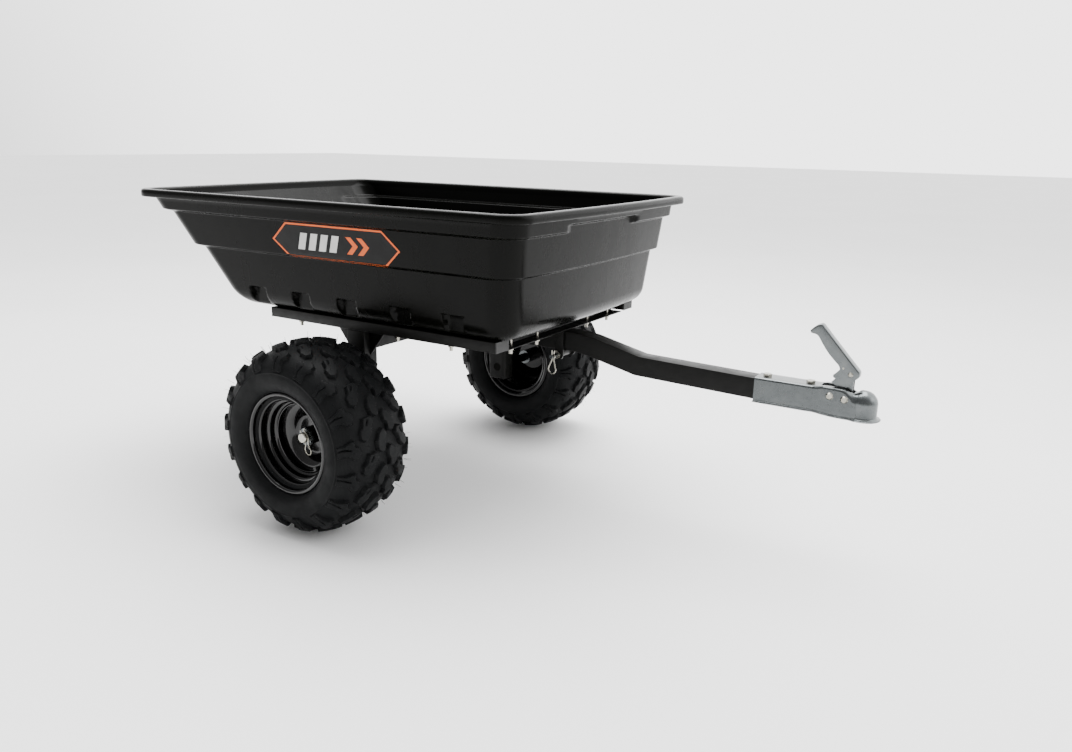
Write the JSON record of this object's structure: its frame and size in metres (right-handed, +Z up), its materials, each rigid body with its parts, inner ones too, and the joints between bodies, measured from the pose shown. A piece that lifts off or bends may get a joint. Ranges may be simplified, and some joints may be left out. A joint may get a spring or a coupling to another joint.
{
  "type": "tow behind cart",
  "caption": "Two-wheeled tow behind cart: a deep moulded tub that tips on a steel undercarriage, wide turf tyres and a drawbar with a ball coupler.",
  "frame": {"origin": "on the ground, below the middle of the cart's overall box", "axes": "+X to the coupler along the drawbar, +Y to the cart's left, +Z up"},
  "size_m": [1.866, 1.186, 0.768],
  "materials": {
    "tub_plastic": "semi-gloss moulded poly",
    "frame_paint": "satin powder coat",
    "end_cap_plastic": "matt",
    "zinc_plate": "bluish zinc plate",
    "bright_fastener": "bright zinc plate",
    "axle_steel": "turned steel",
    "decal_print": "printed film",
    "tyre_rubber": "matt rubber",
    "rim_paint": "gloss black enamel",
    "valve_rubber": "matt"
  },
  "bodies": {
    "undercarriage": {"drawbar": "frame_paint", "drawbar_gussets": "frame_paint", "axle_beam": "frame_paint", "leg_right": "frame_paint", "leg_left": "frame_paint", "leg_gussets": "frame_paint", "stub_axle_right": "axle_steel", "stub_axle_left": "axle_steel", "hinge_clevises": "frame_paint", "hinge_bolts": "bright_fastener", "hinge_nuts": "bright_fastener", "latch_sleeve": "frame_paint", "latch_pin": "zinc_plate", "latch_washers": "bright_fastener", "latch_clip": "bright_fastener", "wheel_washers": "zinc_plate", "wheel_clips": "bright_fastener", "coupler_body": "zinc_plate", "coupler_bolts": "bright_fastener", "coupler_nuts": "bright_fastener", "coupler_rivets": "bright_fastener", "clamp_spring": "zinc_plate", "handle_hanger": "zinc_plate", "handle_pin": "bright_fastener"},
    "bed": {"tub": "tub_plastic", "rail_right": "frame_paint", "rail_left": "frame_paint", "rail_end_caps": "end_cap_plastic", "front_crossmember": "frame_paint", "middle_crossmember": "frame_paint", "rear_crossmember": "frame_paint", "latch_bracket": "frame_paint", "hinge_lugs": "frame_paint", "tub_bolts": "bright_fastener", "tub_bolt_washers": "zinc_plate", "tub_bolt_nuts": "bright_fastener", "decal_right": "decal_print", "decal_left": "decal_print"},
    "handle": {"coupler_handle": "zinc_plate", "catch_pin": "bright_fastener"},
    "catch": {"safety_catch": "zinc_plate"},
    "clamp": {"ball_clamp": "zinc_plate"},
    "wheel_right": {"tyre_right": "tyre_rubber", "rim_right": "rim_paint", "hub_right": "rim_paint", "bearings_right": "axle_steel", "valve_stem_right": "valve_rubber", "valve_cap_right": "valve_rubber"},
    "wheel_left": {"tyre_left": "tyre_rubber", "rim_left": "rim_paint", "hub_left": "rim_paint", "bearings_left": "axle_steel", "valve_stem_left": "valve_rubber", "valve_cap_left": "valve_rubber"}
  },
  "joints": [
    {"name": "bed_tip", "type": "hinge", "parent": "undercarriage", "child": "bed", "pos_m": [-0.316, 0, 0.428], "axis": [0, -1, 0], "range_deg": [0, 45]},
    {"name": "wheel_right_spin", "type": "hinge", "parent": "undercarriage", "child": "wheel_right", "pos_m": [-0.241, -0.48, 0.2285], "axis": [0, 1, 0], "continuous": true},
    {"name": "wheel_left_spin", "type": "hinge", "parent": "undercarriage", "child": "wheel_left", "pos_m": [-0.241, 0.48, 0.2285], "axis": [0, 1, 0], "continuous": true},
    {"name": "handle_close", "type": "hinge", "parent": "undercarriage", "child": "handle", "pos_m": [0.864, 0, 0.4426], "axis": [0, -1, 0], "range_deg": [0, 44]},
    {"name": "clamp_swing", "type": "hinge", "parent": "undercarriage", "child": "clamp", "pos_m": [0.829, 0, 0.3936], "axis": [0, -1, 0], "range_deg": [0, 13]},
    {"name": "catch_press", "type": "hinge", "parent": "handle", "child": "catch", "pos_m": [0.848, 0, 0.4546], "axis": [0, 1, 0], "range_deg": [0, 10], "stiffness_Nm_per_rad": 0.02, "springref_deg": -11.46}
  ],
  "couplings": [
    {"joint": "clamp_swing", "follows": "handle_close", "ratio": 0.26}
  ]
}
